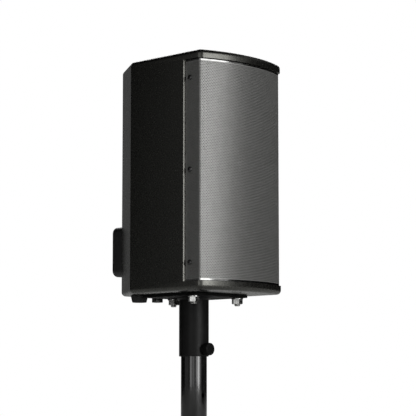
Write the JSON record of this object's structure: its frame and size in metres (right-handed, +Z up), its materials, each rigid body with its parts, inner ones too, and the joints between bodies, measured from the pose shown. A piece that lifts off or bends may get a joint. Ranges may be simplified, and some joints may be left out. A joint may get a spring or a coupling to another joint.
{
  "type": "pa speaker",
  "caption": "Compact two-way loudspeaker with a curved perforated grille and tapered back, clamped on a 35 mm pole by a sleeve and knob",
  "frame": {"origin": "centre of the flat lower end face of the pole, on the pole's axis", "axes": "+Z up along the pole, -Y towards the front (the grille), +X to the right of someone looking along +Y from in front of it"},
  "size_m": [0.161, 0.2315, 0.5155],
  "materials": {
    "cabinet_paint": "black textured satin paint over a plywood box",
    "baffle_paint": "plywood board sprayed matte black",
    "grille_paint": "dark grey powder-coated perforated steel",
    "acoustic_foam": "open-cell black acoustic foam",
    "black_screw": "blackened steel",
    "cast_frame": "black die-cast frame",
    "zinc_steel": "bright zinc plating",
    "ferrite": "sintered dark grey ferrite",
    "surround_rubber": "smooth butyl rubber",
    "spider_cloth": "resin-dipped woven cotton",
    "paper_cone": "pressed dark paper pulp",
    "coil_copper": "enamelled copper wire",
    "horn_plastic": "fine-grained black moulding",
    "titanium": "thin formed titanium",
    "black_plastic": "fine-grained black moulding",
    "circuit_board": "green solder mask",
    "capacitor_film": "glossy film wrap",
    "gasket_rubber": "closed-cell rubber sheet",
    "socket_plastic": "satin black glass-filled nylon",
    "foot_rubber": "matte black rubber",
    "adapter_paint": "fine black powder coat",
    "knob_plastic": "knurled black plastic",
    "brass": "turned brass",
    "pole_gloss": "glossy black paint"
  },
  "bodies": {
    "pole": {"pole_tube": "pole_gloss", "pole_end_plug": "black_plastic"},
    "pole_cap": {"pole_top_plug": "black_plastic"},
    "speaker": {"cabinet_shell": "cabinet_paint", "front_baffle": "baffle_paint", "grille": "grille_paint", "grille_foam": "acoustic_foam", "grille_screw_left_low": "black_screw", "grille_screw_left_middle": "black_screw", "grille_screw_left_high": "black_screw", "grille_screw_right_low": "black_screw", "grille_screw_right_middle": "black_screw", "grille_screw_right_high": "black_screw", "woofer_screw_left_low": "black_screw", "woofer_screw_left_high": "black_screw", "woofer_screw_right_low": "black_screw", "woofer_screw_right_high": "black_screw", "horn_screw_left_low": "black_screw", "horn_screw_left_high": "black_screw", "horn_screw_right_low": "black_screw", "horn_screw_right_high": "black_screw", "terminal_screw_left_low": "black_screw", "terminal_screw_left_high": "black_screw", "terminal_screw_right_low": "black_screw", "terminal_screw_right_high": "black_screw", "woofer_basket": "cast_frame", "woofer_top_plate": "zinc_steel", "woofer_magnet": "ferrite", "woofer_yoke": "zinc_steel", "woofer_surround": "surround_rubber", "woofer_spider": "spider_cloth", "hf_horn": "horn_plastic", "hf_motor_housing": "cast_frame", "hf_rear_cover": "black_plastic", "port_tube_left": "black_plastic", "port_tube_right": "black_plastic", "crossover_board": "circuit_board", "woofer_inductor": "coil_copper", "woofer_capacitor": "capacitor_film", "tweeter_capacitor": "capacitor_film", "terminal_housing": "black_plastic", "terminal_gasket": "gasket_rubber", "speaker_socket_left": "socket_plastic", "speaker_socket_right": "socket_plastic", "rear_foot_left": "foot_rubber", "rear_foot_right": "foot_rubber", "rigging_screw": "black_screw", "adapter_plate": "adapter_paint", "socket_sleeve": "adapter_paint", "plate_stud_left": "zinc_steel", "plate_stud_right": "zinc_steel", "plate_stud_rear": "zinc_steel", "plate_nut_left": "zinc_steel", "plate_nut_right": "zinc_steel", "plate_nut_rear": "zinc_steel"},
    "woofer_cone_assembly": {"woofer_cone": "paper_cone", "woofer_voice_coil": "coil_copper"},
    "hf_diaphragm_body": {"hf_diaphragm": "titanium"},
    "clamp_pad_body": {"clamp_pad": "brass"},
    "clamp_knob_body": {"clamp_knob": "knob_plastic"}
  },
  "joints": [
    {"name": "pole_swivel", "type": "hinge", "parent": "pole", "child": "pole_cap", "pos_m": [0, 0, 0.2], "axis": [0, 0, 1], "continuous": true},
    {"name": "pole_lift", "type": "slide", "parent": "pole_cap", "child": "speaker", "axis": [0, 0, 1], "range_m": [0, 0.055]},
    {"name": "clamp_travel", "type": "slide", "parent": "speaker", "child": "clamp_pad_body", "axis": [0, -1, 0], "range_m": [0, 0.00375]},
    {"name": "clamp_turn", "type": "hinge", "parent": "clamp_pad_body", "child": "clamp_knob_body", "pos_m": [0, -0.0216, 0.1264], "axis": [0, -1, 0], "range_deg": [0, 1080]},
    {"name": "woofer_stroke", "type": "slide", "parent": "speaker", "child": "woofer_cone_assembly", "axis": [0, -1, 0], "range_m": [-0.004, 0.004], "stiffness_N_per_m": 1500, "deforming": ["woofer_surround", "woofer_spider"]},
    {"name": "diaphragm_stroke", "type": "slide", "parent": "speaker", "child": "hf_diaphragm_body", "axis": [0, -1, 0], "range_m": [-0.0003, 0.0003], "stiffness_N_per_m": 1500}
  ],
  "couplings": [
    {"joint": "clamp_travel", "follows": "clamp_turn", "m_per_rad": 0.00019894}
  ]
}
